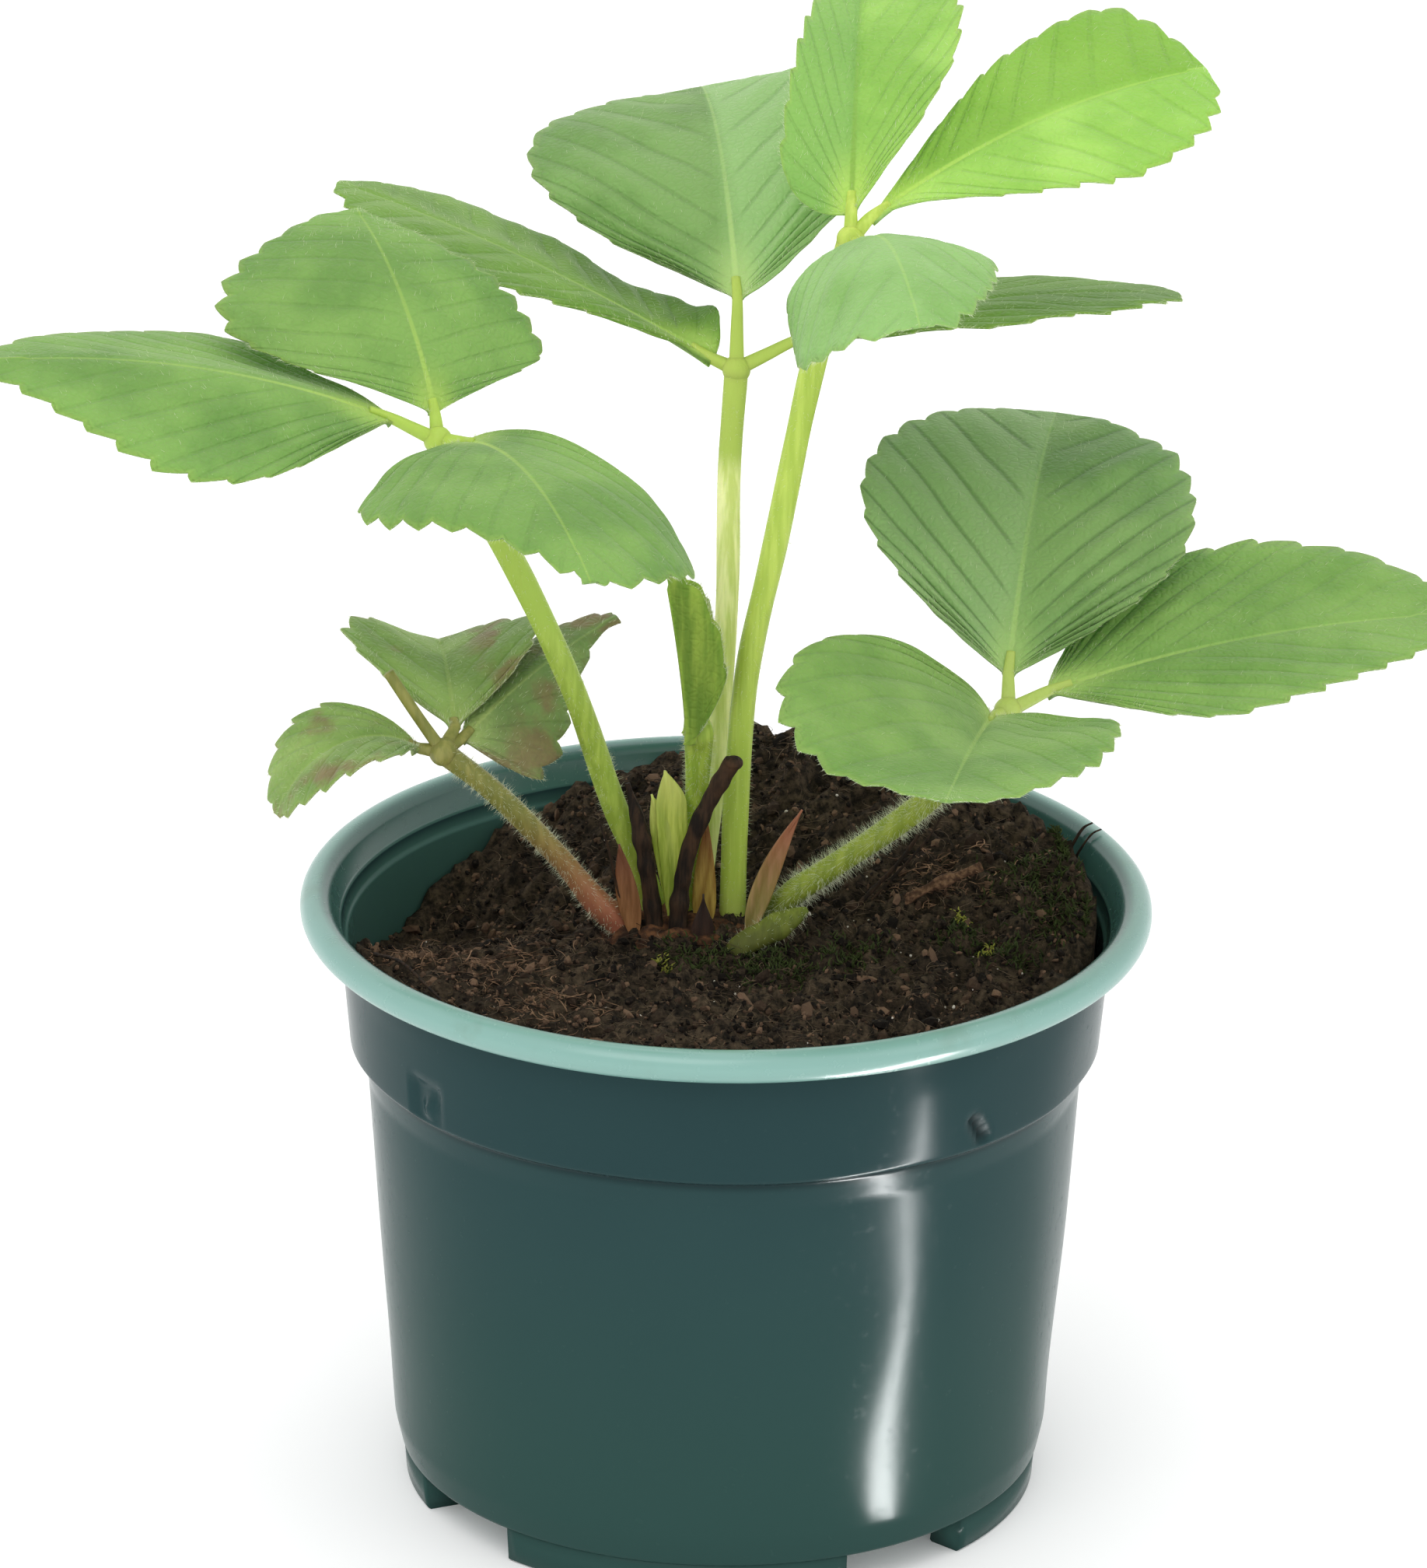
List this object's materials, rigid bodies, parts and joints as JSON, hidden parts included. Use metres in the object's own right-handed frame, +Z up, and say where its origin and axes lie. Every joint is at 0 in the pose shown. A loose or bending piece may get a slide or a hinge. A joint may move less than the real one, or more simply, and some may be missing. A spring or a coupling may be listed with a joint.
{
  "type": "potted strawberry plant",
  "caption": "Young strawberry plant with toothed three-part leaves on upright stalks, growing in soil in a round rolled-rim nursery pot.",
  "frame": {"origin": "on the pot's axis, in the plane its feet stand on", "axes": "+Z up, -Y towards the side the picture shows, +X to its right"},
  "size_m": [0.2063, 0.136, 0.2099],
  "materials": {
    "pot_plastic": "gloss",
    "soil": "matte",
    "crown": "matte",
    "stalk_green": "satin",
    "leaf_green": "satin",
    "leaf_bright": "satin",
    "leaf_olive": "satin",
    "stipule_green": "satin",
    "stipule_dry": "satin",
    "dry_stalk": "matte"
  },
  "bodies": {
    "root": {"pot": "pot_plastic", "soil": "soil", "crown": "crown", "petiole_a": "stalk_green", "petiole_b": "stalk_green", "petiole_c": "stalk_green", "petiole_d": "stalk_green", "petiole_e": "stalk_green", "young_leaf": "leaf_green", "old_stalk_left": "dry_stalk", "old_stalk_right": "dry_stalk", "old_sheath": "stipule_green", "stipule_green": "stipule_green", "stipule_pink": "stipule_dry", "stipule_amber": "stipule_dry", "stipule_brown": "stipule_dry", "stipule_dark": "dry_stalk", "leaflet_a_left": "leaf_green", "leaflet_a_end": "leaf_green", "leaflet_a_right": "leaf_green", "leaflet_b_left": "leaf_green", "leaflet_b_end": "leaf_green", "leaflet_b_right": "leaf_green", "leaflet_c_end": "leaf_bright", "leaflet_c_right": "leaf_bright", "leaflet_c_left": "leaf_bright", "leaflet_d_left": "leaf_green", "leaflet_d_end": "leaf_green", "leaflet_d_right": "leaf_green", "leaflet_e_left": "leaf_olive", "leaflet_e_end": "leaf_olive", "leaflet_e_right": "leaf_olive", "twig": "dry_stalk"}
  },
  "joints": []
}
